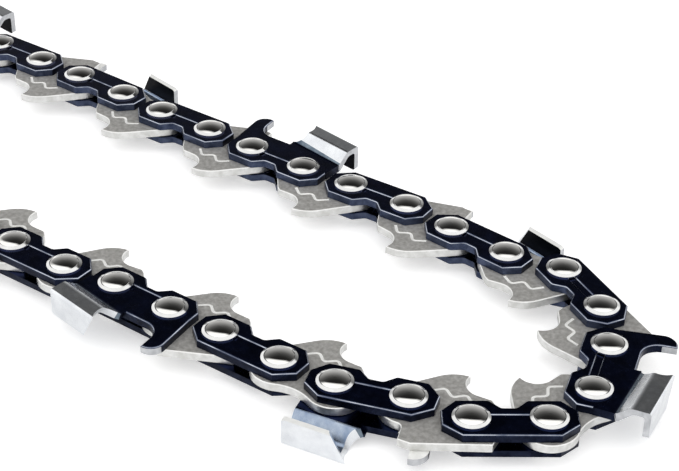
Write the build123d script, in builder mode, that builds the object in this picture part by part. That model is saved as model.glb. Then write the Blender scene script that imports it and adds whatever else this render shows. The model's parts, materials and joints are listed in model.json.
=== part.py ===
"""A closed loop of low profile saw chain, lying on its side.

Every link is drawn once in its own frame: x runs back along the chain, y out of the loop, z up,
with the chain's middle plane at z = 0. The loop then places a copy of each link.
"""

import math
import os

from build123d import *

os.makedirs("parts", exist_ok=True)

# Driving dimensions, in millimetres and degrees
strap_pitch = 9.90
drive_pitch = 8.74
gauge = 1.30
plate = 1.20
side_gap = 0.04
pivot_gap = 0.05
end_radius = 4.00
hub_radius = 2.20
shank_radius = 1.60
head_radius = 2.50
edge_bevel = 0.20

# Heights and rivet places that the links share
plate_in = gauge / 2 + side_gap
plate_out = plate_in + plate
strap_half = strap_pitch / 2
drive_half = drive_pitch / 2

# Rivet head: a short rim, a bevelled ring, a fine notch and a dome
rim_rise = 0.20
ring_rise = 0.42
ring_inside = 0.84 * head_radius
notch_wide = 0.14
notch_deep = 0.10
dome_rise = 0.80
dome_radius = ring_inside - notch_wide

# Tie strap; its rail side is the one towards the guide bar
end_reach = 3.80
strap_back = 3.40
strap_foot = 3.55
end_flat_out = 1.30
end_flat_in = 1.50
back_cut = 2.50
foot_cut = 1.95
foot_inside = 2.50
waist_inside = 4.00
waist_depth = 1.50
waist_round = 0.70
groove_wide = 1.30
groove_deep = 0.18
groove_slope = 45.0
strap_groove_y = -0.15
cutter_groove_y = -0.65
strap_end = strap_half + end_reach
back_half = strap_end - back_cut
foot_far = strap_end - foot_cut
foot_near = strap_half - foot_inside
waist_half = strap_half - waist_inside

# Cutter: depth gauge ahead of the front rivet, then a gullet
raker_top = 8.75
raker_behind = 2.35
raker_ahead = 4.85
raker_lean = 0.35
raker_step = 0.10
raker_step_y = 0.60
raker_round = 2.00
throat_round = 2.60
gullet_reach = 6.45
gullet_floor = 4.35
raker_rear = -strap_half - raker_behind
raker_front = -strap_half - raker_ahead
gullet_rear = -strap_half + gullet_reach

# Cutter: a side plate set out by a jog, folded over into the top plate
body_back = 3.40
formed_plate = 0.85
jog = 1.45
bend_start = 5.20
bend_rise = 1.95
bend_lag = 0.30
bend_round = 1.00
fold_round = 0.40
past_middle = 0.75
corner_reach = 5.15
corner_y = 9.75
lip_ahead = 1.60
tail_lean = 0.95
tail_round = 0.80
relief_angle = 9.0
filing_angle = 26.0
file_radius = 2.75
file_ahead = 2.18
file_below = 1.95
half_kerf = plate_out + jog
corner_x = -strap_half + corner_reach
tail_x = strap_end + tail_lean

# Drive link: round ends, a hooked tang below, a saddle or a ramp above
tip_x = -0.35
tip_y = -9.10
heel_x = 3.40
heel_y = -7.30
hook_x = -2.75
shoulder_y = -5.90
shoulder_ahead = 0.40
chin_ahead = 1.10
chin_y = -5.30
saddle_y = 3.05
ramp_low = 2.25
crest_y = 6.85
crest_front = 0.90
crest_rear = 2.70
step_inside = 1.00
step_round = 0.90
drive_bevel = 0.12
channel_wide = 0.42
channel_deep = 0.12
channel_y = -4.60
channel_swing = 0.65
channel_step = 1.50
channel_turns = 5
channel_round = 0.60

# Headings of the links of one half of the loop, in whole degrees, as the chain lies in the photograph.
# The list begins with a side link and goes on side, drive, side, drive. The other half is the same half
# turned by 180 degrees about the middle of the loop, which closes the loop exactly.
half_headings = [
    *[0, -1, -2, -4, 0, -2, 0, 2, 2, -8, -5, 9, -29, -55],
    *[-73, -101, -144, -172, -162, -178, -180, -180, -181, -173, -180, -180, -180, -180],
]


def on_end(middle_x, angle):
    """A point on a round end of a drive link."""
    turn = math.radians(angle)
    return (middle_x + end_radius * math.cos(turn), end_radius * math.sin(turn))


def touch_angle(point, middle_x, side):
    """The angle at which a straight edge from a point touches a round end, on its +1 or -1 side."""
    across = point[0] - middle_x
    away = math.hypot(across, point[1])
    return math.degrees(math.atan2(point[1], across) + side * math.acos(end_radius / away))


def corners(sketch, points):
    """The corners of a sketch that lie nearest to the given points."""
    return [sketch.vertices().sort_by_distance((x, y, 0))[0] for x, y in points]


# Rivet: a hub that the drive link turns on, two shanks and two spun heads
dome_sphere = (dome_radius**2 + (dome_rise - ring_rise) ** 2) / (2 * (dome_rise - ring_rise))
dome_mid = dome_radius / 2
dome_mid_drop = dome_sphere - math.sqrt(dome_sphere**2 - dome_mid**2)
with BuildPart() as rivet:
    with BuildSketch(Plane.XZ):
        with BuildLine():
            Polyline(
                (0, plate_out + dome_rise),
                (0, 0),
                (hub_radius, 0),
                (hub_radius, plate_in),
                (shank_radius, plate_in),
                (shank_radius, plate_out),
                (head_radius, plate_out),
                (head_radius, plate_out + rim_rise),
                (ring_inside, plate_out + ring_rise),
                (ring_inside - notch_wide / 2, plate_out + ring_rise - notch_deep),
                (dome_radius, plate_out + ring_rise),
            )
            ThreePointArc(
                (dome_radius, plate_out + ring_rise),
                (dome_mid, plate_out + dome_rise - dome_mid_drop),
                (0, plate_out + dome_rise),
            )
        make_face()
    revolve(axis=Axis.Z)
    mirror(about=Plane.XY)

# The rail side of a tie strap, which the cutter's body shares
waist_points = [
    (-foot_near, -strap_foot),
    (-waist_half, waist_depth - strap_foot),
    (waist_half, waist_depth - strap_foot),
    (foot_near, -strap_foot),
]
rail_side = [
    (-strap_end, -end_flat_in),
    (-foot_far, -strap_foot),
    *waist_points,
    (foot_far, -strap_foot),
    (strap_end, -end_flat_in),
]

# Tie strap, upper side
with BuildPart() as upper_strap:
    with BuildSketch(Plane.XY.offset(plate_in)) as strap_outline:
        with BuildLine():
            Polyline(
                *rail_side,
                (strap_end, end_flat_out),
                (back_half, strap_back),
                (-back_half, strap_back),
                (-strap_end, end_flat_out),
                close=True,
            )
        make_face()
        fillet(corners(strap_outline, waist_points), waist_round)
    extrude(amount=plate)
    chamfer(upper_strap.faces().sort_by(Axis.Z)[-1].outer_wire().edges(), edge_bevel)
    with BuildSketch(Plane.XY.offset(plate_out)):
        with Locations((0, strap_groove_y)):
            Rectangle(strap_pitch, groove_wide)
    extrude(amount=-groove_deep, taper=groove_slope, mode=Mode.SUBTRACT)
    with BuildSketch(Plane.XY.offset(plate_in)):
        with GridLocations(strap_pitch, 0, 2, 1):
            Circle(shank_radius)
    extrude(amount=plate, mode=Mode.SUBTRACT)

# Flat body of a cutter, with the depth gauge
relief = math.radians(relief_angle)
raker_corner = (raker_front, raker_top)
throat_corner = (raker_rear + raker_lean, gullet_floor)
with BuildPart() as cutter_body:
    with BuildSketch(Plane.XY.offset(plate_in)) as body_outline:
        with BuildLine():
            Polyline(
                *rail_side,
                (strap_end, body_back - math.tan(relief) * (strap_end - gullet_rear)),
                (gullet_rear, gullet_floor),
                throat_corner,
                (raker_rear, raker_top),
                raker_corner,
                (-strap_end - raker_step, raker_step_y),
                close=True,
            )
        make_face()
        fillet(corners(body_outline, waist_points), waist_round)
        fillet(corners(body_outline, [raker_corner]), raker_round)
        fillet(corners(body_outline, [throat_corner]), throat_round)
    extrude(amount=plate)
    chamfer(cutter_body.faces().sort_by(Axis.Z)[-1].outer_wire().edges(), edge_bevel)
    with BuildSketch(Plane.XY.offset(plate_out)):
        with Locations((0, cutter_groove_y)):
            Rectangle(strap_pitch, groove_wide)
    extrude(amount=-groove_deep, taper=groove_slope, mode=Mode.SUBTRACT)
    with BuildSketch(Plane.XY.offset(plate_in)):
        with GridLocations(strap_pitch, 0, 2, 1):
            Circle(shank_radius)
    extrude(amount=plate, mode=Mode.SUBTRACT)

# Section through the jog, the side plate and the top plate, square to the sloping top plate
sheet_plane = Plane(
    origin=(corner_x - corner_y * math.sin(relief), 0, 0),
    x_dir=(math.sin(relief), math.cos(relief), 0),
    z_dir=(math.cos(relief), -math.sin(relief), 0),
)
sheet_root = body_back - plate
sheet_inside = half_kerf - formed_plate
sheet_long = tail_x + corner_y
inner_bend = [
    (bend_start + bend_lag, plate_in),
    (bend_start + bend_lag + bend_rise, sheet_inside),
]
outer_bend = [
    (bend_start + bend_rise, half_kerf),
    (bend_start, plate_out),
]
inner_fold = (corner_y - formed_plate, sheet_inside)
outer_fold = (corner_y, half_kerf)

# The cutting edge runs aslant from the outer corner; the side plate below it reaches further ahead
filing_slope = math.tan(math.radians(filing_angle))
filed_back = filing_slope * (half_kerf + past_middle)
lip_x = corner_x - lip_ahead
tail_point = (tail_x, -past_middle)
file_y = corner_y - file_below
file_plane = Plane(origin=(corner_x - file_ahead, file_y, half_kerf), z_dir=(filing_slope, 0, -1))
with BuildPart() as cutter_sheet:
    with BuildSketch(sheet_plane) as sheet_section:
        with BuildLine():
            Polyline(
                (sheet_root, plate_in),
                *inner_bend,
                inner_fold,
                (corner_y - formed_plate, -past_middle),
                (corner_y, -past_middle),
                outer_fold,
                *outer_bend,
                (sheet_root, plate_out),
                close=True,
            )
        make_face()
        fillet(corners(sheet_section, inner_bend + outer_bend), bend_round)
        fillet(corners(sheet_section, [inner_fold, outer_fold]), fold_round)
    extrude(amount=sheet_long, both=True)
    with BuildSketch(Plane.XZ) as planform:
        with BuildLine():
            Polyline(
                (lip_x, half_kerf),
                (lip_x + filed_back, -past_middle),
                tail_point,
                (tail_x, half_kerf),
                close=True,
            )
        make_face()
        fillet(corners(planform, [tail_point]), tail_round)
    extrude(amount=-sheet_long, mode=Mode.INTERSECT)
    with BuildSketch(Plane.XY) as side_view:
        with BuildLine():
            Polyline(
                (lip_x, 0),
                (strap_end, 0),
                (tail_x, corner_y),
                (lip_x, corner_y),
                close=True,
            )
        make_face()
    extrude(amount=half_kerf, both=True, mode=Mode.INTERSECT)
    with BuildSketch(Plane.XZ.offset(-file_y)):
        with BuildLine():
            Polyline(
                (lip_x, half_kerf),
                (corner_x, half_kerf),
                (corner_x + filed_back, -past_middle),
                (lip_x, -past_middle),
                close=True,
            )
        make_face()
    extrude(amount=-corner_y, mode=Mode.SUBTRACT)
    with BuildSketch(file_plane):
        Circle(file_radius)
    extrude(amount=sheet_long, both=True, mode=Mode.SUBTRACT)

# Left cutter: body and formed sheet are one piece of steel
with BuildPart() as left_cutter:
    add(cutter_body.part)
    add(cutter_sheet.part)

# The lower side of the chain mirrors the upper side
with BuildPart() as lower_strap:
    mirror(upper_strap.part, about=Plane.XY)
with BuildPart() as right_cutter:
    mirror(left_cutter.part, about=Plane.XY)


# Corners of a drive link, and the angles at which its edges run into its round ends
front_end = -drive_half
rear_end = drive_half
tang_tip = (tip_x, tip_y)
tang_heel = (heel_x, heel_y)
hook_top = (hook_x, shoulder_y)
shoulder = (front_end - shoulder_ahead, shoulder_y)
chin = (front_end - chin_ahead, chin_y)
trail_angle = touch_angle(tang_heel, rear_end, 1)
trail_way = (math.sin(math.radians(trail_angle)), -math.cos(math.radians(trail_angle)))
nose_angle = touch_angle(chin, front_end, -1) + 360
saddle_radius = (drive_half**2 + saddle_y**2 - end_radius**2) / (2 * (end_radius - saddle_y))
saddle_angle = math.degrees(math.atan2(saddle_y + saddle_radius, drive_half))


def end_arc(middle_x, first_angle, last_angle):
    """Part of a round end of a drive link."""
    middle_angle = (first_angle + last_angle) / 2
    ThreePointArc(on_end(middle_x, first_angle), on_end(middle_x, middle_angle), on_end(middle_x, last_angle))


def tang_edge():
    """The edge of a drive link from its rear end round the tang to its front end."""
    Line(on_end(rear_end, trail_angle), tang_heel)
    TangentArc(tang_heel, tang_tip, tangent=trail_way)
    TangentArc(hook_top, tang_tip, tangent=(1, 0))
    Polyline(hook_top, shoulder, chin, on_end(front_end, nose_angle))


# Plain drive link: a saddle between the round ends
with BuildPart() as plain_blank:
    with BuildSketch(Plane.XY.offset(-gauge / 2)):
        with BuildLine():
            tang_edge()
            end_arc(front_end, nose_angle, saddle_angle)
            ThreePointArc(
                on_end(front_end, saddle_angle),
                (0, saddle_y),
                on_end(rear_end, 180 - saddle_angle),
            )
            end_arc(rear_end, 180 - saddle_angle, trail_angle)
        make_face()
    extrude(amount=gauge)

# Bumper drive link: a ramp that rises towards the cutter's depth gauge
step_corner = (rear_end - step_inside, end_radius)
with BuildPart() as bumper_blank:
    with BuildSketch(Plane.XY.offset(-gauge / 2)) as bumper_outline:
        with BuildLine():
            tang_edge()
            end_arc(front_end, nose_angle, 180)
            Polyline(
                on_end(front_end, 180),
                (front_end - end_radius, ramp_low),
                (crest_front, crest_y),
                (crest_rear, crest_y),
                step_corner,
                on_end(rear_end, 90),
            )
            end_arc(rear_end, 90, trail_angle)
        make_face()
        fillet(corners(bumper_outline, [step_corner]), step_round)
    extrude(amount=gauge)

# A wavy oil channel, pressed into both faces of the tang
channel_start = -channel_step * (channel_turns - 1) / 2
channel_points = [
    (channel_start + n * channel_step, channel_y + channel_swing * (-1) ** n) for n in range(channel_turns)
]


def finished_link(blank):
    """A drive link with bevelled edges, two pivot holes and its oil channels."""
    with BuildPart() as link:
        add(blank)
        flat_faces = link.faces().sort_by(Axis.Z)
        chamfer(flat_faces[0].edges() + flat_faces[-1].edges(), drive_bevel)
        with BuildSketch(Plane.XY.offset(-gauge / 2)):
            with GridLocations(drive_pitch, 0, 2, 1):
                Circle(hub_radius + pivot_gap)
        extrude(amount=gauge, mode=Mode.SUBTRACT)
        for face in (gauge / 2, -gauge / 2):
            with BuildSketch(Plane.XY.offset(face)):
                with BuildLine():
                    FilletPolyline(*channel_points, radius=channel_round)
                trace(line_width=channel_wide)
            extrude(amount=-math.copysign(channel_deep, face), mode=Mode.SUBTRACT)
    return link.part


plain_drive_link = finished_link(plain_blank.part)
bumper_drive_link = finished_link(bumper_blank.part)

# Walk round the loop, then set its middle on the origin and its lowest cutters on the floor
headings = half_headings + [heading - 180 for heading in half_headings]
pivots = [Vector(0, 0, 0)]
for number, heading in enumerate(headings):
    length = drive_pitch if number % 2 else strap_pitch
    pivots.append(pivots[-1] + Vector(length, 0, 0).rotate(Axis.Z, heading))
loop_middle = (pivots[0] + pivots[len(half_headings)]) * 0.5

front_rivet = rivet.part.moved(Location((-strap_half, 0, 0)))
rear_rivet = rivet.part.moved(Location((strap_half, 0, 0)))
rivets = [front_rivet, rear_rivet]


def pieces_of(number):
    """The name and the solids of one link, by its number round the loop."""
    pair = number // 2 + 1
    if number % 2 and pair % 2:
        return f"bumper_drive_link_{pair:02d}", [bumper_drive_link]
    if number % 2:
        return f"drive_link_{pair:02d}", [plain_drive_link]
    if pair % 2:
        return f"tie_strap_link_{pair:02d}", [upper_strap.part, lower_strap.part, *rivets]
    if pair % 4:
        return f"right_cutter_link_{pair:02d}", [upper_strap.part, right_cutter.part, *rivets]
    return f"left_cutter_link_{pair:02d}", [left_cutter.part, lower_strap.part, *rivets]


for number, heading in enumerate(headings):
    middle = (pivots[number] + pivots[number + 1]) * 0.5 - loop_middle
    spot = Location((middle.X, middle.Y, half_kerf), (0, 0, heading))
    label, solids = pieces_of(number)
    link = Compound(label=label, children=[solid.moved(spot) for solid in solids])
    export_step(link, f"parts/{label}.step")
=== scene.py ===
"""Looks for the saw chain loop: finishes, floor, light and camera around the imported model."""

import json
import math

import bpy
import numpy as np
from mathutils import Matrix, Vector

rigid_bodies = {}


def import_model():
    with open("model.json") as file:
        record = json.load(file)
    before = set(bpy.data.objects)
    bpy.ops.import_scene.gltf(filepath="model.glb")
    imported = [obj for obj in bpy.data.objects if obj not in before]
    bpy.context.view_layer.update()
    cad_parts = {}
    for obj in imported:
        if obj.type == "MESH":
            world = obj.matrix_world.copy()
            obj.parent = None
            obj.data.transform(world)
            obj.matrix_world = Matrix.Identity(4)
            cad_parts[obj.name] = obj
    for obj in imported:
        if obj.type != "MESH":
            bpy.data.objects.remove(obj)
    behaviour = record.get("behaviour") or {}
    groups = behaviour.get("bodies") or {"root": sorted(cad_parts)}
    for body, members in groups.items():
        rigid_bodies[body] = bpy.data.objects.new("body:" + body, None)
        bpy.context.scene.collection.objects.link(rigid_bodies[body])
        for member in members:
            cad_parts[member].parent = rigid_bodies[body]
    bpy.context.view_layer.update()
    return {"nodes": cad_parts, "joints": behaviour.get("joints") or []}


for leftover in list(bpy.data.objects):
    bpy.data.objects.remove(leftover)
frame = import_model()

# Sizes in metres that tell one surface of a link from another; touch is the slack in telling them
plate_in = 0.00069
plate_out = 0.00189
head_radius = 0.0025
dome_radius = 0.00196
strap_half = 0.00495
edge_bevel = 0.0002
rail_start = 0.0018
drive_half_gauge = 0.00065
channel_y = -0.0046
channel_deep = 0.00012
channel_reach = 0.0009
channel_half = 0.0033
raker_start = 0.0034
raker_tip = 0.0070
bend_start = 0.0052
corner_x = 0.0002
corner_y = 0.00975
relief = math.radians(9)
touch = 0.000005

# Parts of a normal that tell walls, bevels, inner faces, ends and filed faces
wall_part = 0.3
bevel_low = 0.5
bevel_high = 0.9
inner_part = 0.4
end_part = 0.7
filed_part = 0.35
raker_back_part = 0.2

# Patterns of the finishes: the heat tint above the bend, the painted highlight and worn line on a bevel, and
# spans of noise
tint_reach = 0.0005
worn_highlight_line = 0.00004
worn_highlight_patches = 3
worn_highlight_least = 0.20
worn_highlight_span = (0.35, 0.60)
patch_span = (0.35, 0.68)
wear_span = (0.30, 0.72)
wear_scale = 2.7
wear_detail = 6.0
grain_detail = 3.0

# Camera, solved from the rivets of the photograph
photo_width = 679
focal_pixels = 1793.59
camera_azimuth = math.radians(34.786)
camera_elevation = math.radians(33.763)
camera_roll = math.radians(1.0465)
camera_target = Vector((0.072893, 0.007486, 0.00548))
camera_distance = 0.25933
camera_near = 0.01
sensor_width = 36

# Rivet places round the loop; the pivot where the chain of joints is open lies opposite the middle one
pivots = {}
for joint in frame["joints"]:
    pivots[int(joint["name"].rsplit("_", 1)[1])] = np.array(joint["pos_m"])
half_loop = (len(pivots) + 1) // 2
open_pivot = pivots[half_loop] * (-1, -1, 1)
pivots[0] = open_pivot
pivots[2 * half_loop] = open_pivot
chain_middle = open_pivot[2]


def feed(tree, socket, value):
    """Gives a socket the output of another node, or a plain number or colour."""
    if isinstance(value, bpy.types.NodeSocket):
        tree.links.new(value, socket)
    elif isinstance(value, tuple):
        socket.default_value = (*value, 1)
    else:
        socket.default_value = value


def noise(tree, place, scale, detail=4.0, roughness=0.55):
    """Noise between 0 and 1, with `scale` waves to the metre."""
    node = tree.nodes.new("ShaderNodeTexNoise")
    feed(tree, node.inputs["Vector"], place)
    feed(tree, node.inputs["Scale"], scale)
    feed(tree, node.inputs["Detail"], detail)
    feed(tree, node.inputs["Roughness"], roughness)
    return node.outputs["Fac"]


def ramp(tree, value, low, high, out_low=0.0, out_high=1.0, shape="LINEAR"):
    """Maps a value from one span to another, and holds it there."""
    node = tree.nodes.new("ShaderNodeMapRange")
    node.interpolation_type = shape
    feed(tree, node.inputs["Value"], value)
    feed(tree, node.inputs["From Min"], low)
    feed(tree, node.inputs["From Max"], high)
    feed(tree, node.inputs["To Min"], out_low)
    feed(tree, node.inputs["To Max"], out_high)
    return node.outputs["Result"]


def mixed(tree, share, first, second):
    """A colour between two, each a plain colour or the output of another node."""
    node = tree.nodes.new("ShaderNodeMix")
    node.data_type = "RGBA"
    feed(tree, node.inputs["Factor"], share)
    feed(tree, node.inputs[6], first)
    feed(tree, node.inputs[7], second)
    return node.outputs[2]


def calculated(tree, operation, *values):
    """The result of a sum on numbers and the outputs of other nodes."""
    node = tree.nodes.new("ShaderNodeMath")
    node.operation = operation
    for socket, value in zip(node.inputs, values):
        feed(tree, socket, value)
    return node.outputs["Value"]


def worn_highlight_share(tree, place, patch):
    """A painted highlight that also stands for worn steel: a broken thin line along the middle of the
    bevels, found by height.
    """
    split = tree.nodes.new("ShaderNodeSeparateXYZ")
    feed(tree, split.inputs["Vector"], place)
    height = calculated(tree, "ABSOLUTE", calculated(tree, "SUBTRACT", split.outputs["Z"], chain_middle))
    line = calculated(tree, "COMPARE", height, plate_out - edge_bevel / 2, worn_highlight_line)
    broken = ramp(tree, noise(tree, place, patch / worn_highlight_patches), *worn_highlight_span, worn_highlight_least, 1.0)
    return calculated(tree, "MULTIPLY", line, broken)


def metal(name, dark, light, patch, smooth, rough, grain, lift, metallic=1.0, worn_highlight_tone=None):
    """A metal finish: two tones in patches, a span of roughness, a fine grain and perhaps a painted
    highlight and worn line.
    """
    material = bpy.data.materials.new(name)
    material.use_nodes = True
    tree = material.node_tree
    tree.nodes.clear()
    output = tree.nodes.new("ShaderNodeOutputMaterial")
    shader = tree.nodes.new("ShaderNodeBsdfPrincipled")
    feed(tree, output.inputs["Surface"], shader.outputs["BSDF"])
    place = tree.nodes.new("ShaderNodeTexCoord").outputs["Object"]
    colour = mixed(tree, ramp(tree, noise(tree, place, patch), *patch_span), dark, light)
    if worn_highlight_tone:
        colour = mixed(tree, worn_highlight_share(tree, place, patch), colour, worn_highlight_tone)
    wear = noise(tree, place, patch * wear_scale, wear_detail)
    bump = tree.nodes.new("ShaderNodeBump")
    feed(tree, bump.inputs["Distance"], lift)
    feed(tree, bump.inputs["Height"], noise(tree, place, grain, grain_detail))
    feed(tree, shader.inputs["Base Color"], colour)
    feed(tree, shader.inputs["Roughness"], ramp(tree, wear, *wear_span, smooth, rough))
    feed(tree, shader.inputs["Normal"], bump.outputs["Normal"])
    feed(tree, shader.inputs["Metallic"], metallic)
    return material


# Finishes of the straps, cutters and rivets. The numbers after the two tones are the patches to the metre,
# the least and most roughness, the grains to the metre, their lift in metres and the share of metal.
blued_face = metal(
    "blued_face", (0.002, 0.006, 0.028), (0.008, 0.016, 0.066), 420, 0.16, 0.30, 7000, 0.000002
)
# Bevels of the straps: dark blued tones with a pale painted highlight line along their middle, also standing
# for worn steel
blued_edge = metal(
    "blued_edge", (0.020, 0.028, 0.060), (0.045, 0.060, 0.11), 700, 0.22, 0.36, 9000, 0.0000005,
    worn_highlight_tone=(0.56, 0.59, 0.65),
)
blued_rail = metal(
    "blued_rail", (0.030, 0.040, 0.075), (0.075, 0.092, 0.15), 700, 0.30, 0.42, 9000, 0.000002
)
blued_wall = metal(
    "blued_wall", (0.006, 0.008, 0.018), (0.016, 0.021, 0.042), 700, 0.25, 0.40, 9000, 0.000002
)
# Near-black painted shade for the faces under the cutter's top plate
painted_shade_black = metal(
    "painted_shade_black", (0.002, 0.002, 0.004), (0.008, 0.008, 0.012), 500, 0.35, 0.50, 9000, 0.000001
)
rivet_chrome = metal(
    "rivet_chrome", (0.88, 0.865, 0.835), (0.95, 0.94, 0.91), 700, 0.02, 0.06, 9000, 0.0000004
)
rivet_ring = metal(
    "rivet_ring", (0.70, 0.70, 0.69), (0.80, 0.80, 0.79), 700, 0.06, 0.14, 9000, 0.0000005
)
plate_chrome = metal(
    "plate_chrome", (0.72, 0.74, 0.77), (0.84, 0.86, 0.88), 500, 0.14, 0.26, 9000, 0.0000015
)
heat_tint = metal(
    "heat_tint", (0.09, 0.12, 0.16), (0.22, 0.27, 0.32), 700, 0.16, 0.30, 9000, 0.0000015
)
plate_inside = metal(
    "plate_inside", (0.22, 0.29, 0.42), (0.45, 0.52, 0.62), 500, 0.24, 0.38, 9000, 0.0000015
)
# Grey of sheared steel, darker than the chrome, so the cut ends of the plate also carry painted shade
sheared_steel_and_shade = metal(
    "sheared_steel_and_shade", (0.45, 0.46, 0.48), (0.62, 0.63, 0.65), 900, 0.30, 0.45, 9000, 0.000002
)
# Filed steel on the cutters' rakers and top rims; on the drive links the same pale tone is a painted
# highlight
bare_steel_and_highlight = metal(
    "bare_steel_and_highlight", (0.84, 0.84, 0.82), (0.94, 0.94, 0.92), 800, 0.50, 0.65, 9000, 0.000002, 0.2
)
side_finishes = [
    blued_face,
    blued_edge,
    blued_rail,
    blued_wall,
    painted_shade_black,
    rivet_chrome,
    rivet_ring,
    plate_chrome,
    heat_tint,
    plate_inside,
    sheared_steel_and_shade,
    bare_steel_and_highlight,
]

# Finishes of the drive links
satin_face = metal(
    "satin_face", (0.38, 0.37, 0.35), (0.58, 0.57, 0.55), 1500, 0.44, 0.62, 7000, 0.00001, 0.55
)
satin_edge = metal(
    "satin_edge", (0.62, 0.62, 0.60), (0.80, 0.80, 0.79), 800, 0.30, 0.45, 9000, 0.000002
)
drive_finishes = [satin_face, satin_edge, bare_steel_and_highlight]


def in_link_frame(name, mesh):
    """Middles and normals of a node's faces: x back along the chain, y out of the loop, z up."""
    pair = int(name.rsplit("_", 1)[1])
    number = 2 * (pair - 1) + (1 if "drive" in name else 0)
    front, rear = pivots[number], pivots[number + 1]
    along = (rear - front) / np.linalg.norm(rear - front)
    across = np.array([-along[1], along[0], 0])
    turn = np.stack([along, across, (0, 0, 1)], 1)
    middles = np.empty(len(mesh.polygons) * 3)
    normals = np.empty(len(mesh.polygons) * 3)
    mesh.polygons.foreach_get("center", middles)
    mesh.polygons.foreach_get("normal", normals)
    return (middles.reshape(-1, 3) - (front + rear) / 2) @ turn, normals.reshape(-1, 3) @ turn


def cutter_finish(finish, outward, middles, normals):
    """Lays the cutter's own finishes over those of its strap."""
    x, y, z = middles.T
    outward_z = outward * z
    outward_part = outward * normals[:, 2]
    # How far a face lies up the side plate, which leans by the relief of the top plate
    rise = y * math.cos(relief) + (x - corner_x + corner_y * math.sin(relief)) * math.sin(relief)
    formed = (rise > bend_start - touch) & (x > -strap_half / 2) & (outward_z > -plate_out)
    inner = outward_part < -inner_part
    raker_inside = inner & (y > raker_start) & (x < -strap_half) & (outward_z > 0)
    raker_wall = (np.abs(outward_part) < wall_part) & (normals[:, 1] > -raker_back_part) & (y > raker_tip)
    top_rim = formed & (outward_part < -end_part) & (outward_z < 0)
    under_top = formed & (np.abs(outward_part) < wall_part) & (normals[:, 1] < -inner_part)
    finish[formed] = side_finishes.index(plate_chrome)
    finish[formed & (rise < bend_start + tint_reach)] = side_finishes.index(heat_tint)
    finish[raker_inside] = side_finishes.index(bare_steel_and_highlight)
    finish[formed & inner] = side_finishes.index(plate_inside)
    # The rear cut ends of the plate: sheared steel, darkened as painted shade
    finish[formed & (normals[:, 0] > end_part)] = side_finishes.index(sheared_steel_and_shade)
    finish[top_rim] = side_finishes.index(bare_steel_and_highlight)
    finish[raker_wall & ~formed] = side_finishes.index(sheared_steel_and_shade)
    finish[formed & (normals[:, 0] < -filed_part)] = side_finishes.index(plate_chrome)
    # The faces under the top plate are painted near-black as shade
    finish[under_top] = side_finishes.index(painted_shade_black)


def side_finish(name, middles, normals):
    """Which finish each face of a tie strap or cutter link takes."""
    x, y, z = middles.T
    finish = np.full(len(middles), side_finishes.index(blued_face))
    upright = np.abs(normals[:, 2])
    near_back = np.abs(z) > plate_out - edge_bevel - touch
    finish[near_back & (upright > bevel_low) & (upright < bevel_high)] = side_finishes.index(blued_edge)
    wall = upright < wall_part
    finish[wall] = side_finishes.index(blued_wall)
    finish[wall & (y < -rail_start) & (np.abs(z) > plate_in + touch)] = side_finishes.index(blued_rail)
    if "cutter" in name:
        cutter_finish(finish, 1 if "left" in name else -1, middles, normals)
    from_rivet = np.hypot(np.abs(x) - strap_half, y)
    head = (from_rivet < head_radius + touch) & (np.abs(z) > plate_out + touch)
    hub = (from_rivet < head_radius) & (np.abs(z) < plate_in)
    finish[head | hub] = side_finishes.index(rivet_chrome)
    finish[head & (from_rivet > dome_radius)] = side_finishes.index(rivet_ring)
    return finish


def drive_finish(middles, normals):
    """Which finish each face of a drive link takes: satin, brighter on the edges, with a pale painted
    highlight on the bevels and in the oil channel.
    """
    x, y, z = middles.T
    finish = np.full(len(middles), drive_finishes.index(satin_face))
    upright = np.abs(normals[:, 2])
    below = np.abs(z) < drive_half_gauge - touch
    finish[below] = drive_finishes.index(satin_edge)
    bevel = (upright > bevel_low) & (upright < bevel_high)
    near_channel = (np.abs(y - channel_y) < channel_reach) & (np.abs(x) < channel_half)
    channel = near_channel & (np.abs(z) > drive_half_gauge - channel_deep - touch)
    # The bevels and the oil channel are painted pale as highlight lines
    finish[below & (bevel | channel)] = drive_finishes.index(bare_steel_and_highlight)
    return finish


for name, node in frame["nodes"].items():
    mesh = node.data
    middles, normals = in_link_frame(name, mesh)
    if "drive" in name:
        finishes, choice = drive_finishes, drive_finish(middles, normals)
    else:
        finishes, choice = side_finishes, side_finish(name, middles, normals)
    mesh.materials.clear()
    for finish in finishes:
        mesh.materials.append(finish)
    mesh.polygons.foreach_set("material_index", choice)

# Floor: pale, with the white of the paper added for the camera and for reflections
floor_reach = 8.0
floor_gap = 0.00002
floor_tone = 0.90
floor_rough = 0.9
floor_shine = 0.1
paper_seen = 0.42
paper_mirrored = 0.20
bpy.ops.mesh.primitive_plane_add(size=2 * floor_reach, location=(0, 0, -floor_gap))
floor = bpy.context.object
floor.name = "floor"
paper = bpy.data.materials.new("paper")
paper.use_nodes = True
floor_tree = paper.node_tree
floor_shader = floor_tree.nodes["Principled BSDF"]
rays = floor_tree.nodes.new("ShaderNodeLightPath").outputs
seen = calculated(floor_tree, "MULTIPLY", rays["Is Camera Ray"], paper_seen)
mirrored = calculated(floor_tree, "MULTIPLY", rays["Is Glossy Ray"], paper_mirrored)
glow = calculated(floor_tree, "MAXIMUM", seen, mirrored)
feed(floor_tree, floor_shader.inputs["Base Color"], (floor_tone, floor_tone, floor_tone))
feed(floor_tree, floor_shader.inputs["Roughness"], floor_rough)
feed(floor_tree, floor_shader.inputs["Specular IOR Level"], floor_shine)
feed(floor_tree, floor_shader.inputs["Emission Color"], (1, 1, 1))
feed(floor_tree, floor_shader.inputs["Emission Strength"], glow)
floor.data.materials.append(paper)

# Studio: soft white light from all sides, but for one dim wall beyond the part; the camera itself sees white
room_light = 1.15
wall_height = math.radians(32)
wall_reach = math.radians(35)
wall_aside = math.radians(5)
wall_turn = camera_azimuth - wall_aside
wall_blur = 0.03
wall_way = (
    -math.sin(wall_turn) * math.cos(wall_height),
    math.cos(wall_turn) * math.cos(wall_height),
    math.sin(wall_height),
)
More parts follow.
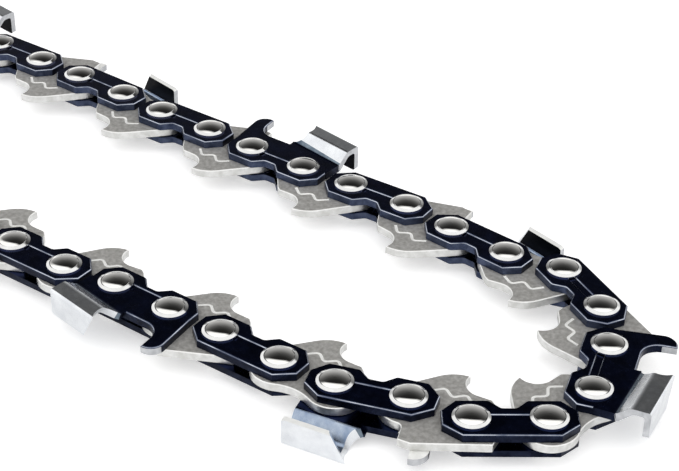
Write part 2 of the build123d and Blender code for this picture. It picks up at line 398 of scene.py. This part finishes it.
# The wall's tones from the floor up, each with the sine of its height
wall_tones = [
    (0.00, 0.58),
    (0.20, 0.42),
    (0.41, 0.24),
    (0.56, 0.11),
    (0.68, 0.052),
    (0.80, 0.020),
    (0.92, 0.012),
]
world = bpy.data.worlds.new("studio")
bpy.context.scene.world = world
world.use_nodes = True
room = world.node_tree
room.nodes.clear()
direction = room.nodes.new("ShaderNodeTexCoord").outputs["Generated"]
split = room.nodes.new("ShaderNodeSeparateXYZ")
feed(room, split.inputs["Vector"], direction)
tones = room.nodes.new("ShaderNodeValToRGB")
feed(room, tones.inputs["Fac"], split.outputs["Z"])
steps = tones.color_ramp.elements
steps.remove(steps[-1])
for number, (height, tone) in enumerate(wall_tones):
    step = steps.new(height) if number else steps[0]
    step.color = (tone, tone, tone, 1)
facing = room.nodes.new("ShaderNodeVectorMath")
facing.operation = "DOT_PRODUCT"
facing.inputs[1].default_value = wall_way
feed(room, facing.inputs[0], direction)
edge = math.cos(wall_reach)
wall = ramp(room, facing.outputs["Value"], edge - wall_blur, edge + wall_blur, shape="SMOOTHSTEP")
light = mixed(room, wall, (room_light, room_light, room_light), tones.outputs["Color"])
camera_ray = room.nodes.new("ShaderNodeLightPath").outputs["Is Camera Ray"]
background = room.nodes.new("ShaderNodeBackground")
feed(room, background.inputs["Color"], mixed(room, camera_ray, light, (1, 1, 1)))
world_output = room.nodes.new("ShaderNodeOutputWorld")
feed(room, world_output.inputs["Surface"], background.outputs["Background"])

# Camera
toward = Vector(
    (
        math.sin(camera_azimuth) * math.cos(camera_elevation),
        -math.cos(camera_azimuth) * math.cos(camera_elevation),
        math.sin(camera_elevation),
    )
)
level_right = Vector((math.cos(camera_azimuth), math.sin(camera_azimuth), 0))
level_up = toward.cross(level_right)
right = level_right * math.cos(camera_roll) + level_up * math.sin(camera_roll)
up = level_up * math.cos(camera_roll) - level_right * math.sin(camera_roll)
camera_data = bpy.data.cameras.new("camera")
camera_data.sensor_width = sensor_width
camera_data.lens = focal_pixels * sensor_width / photo_width
camera_data.clip_start = camera_near
camera = bpy.data.objects.new("camera", camera_data)
bpy.context.scene.collection.objects.link(camera)
stand = Matrix((right, up, toward)).transposed().to_4x4()
camera.matrix_world = Matrix.Translation(camera_target + toward * camera_distance) @ stand
bpy.context.scene.camera = camera
bpy.context.scene.view_settings.view_transform = "Standard"
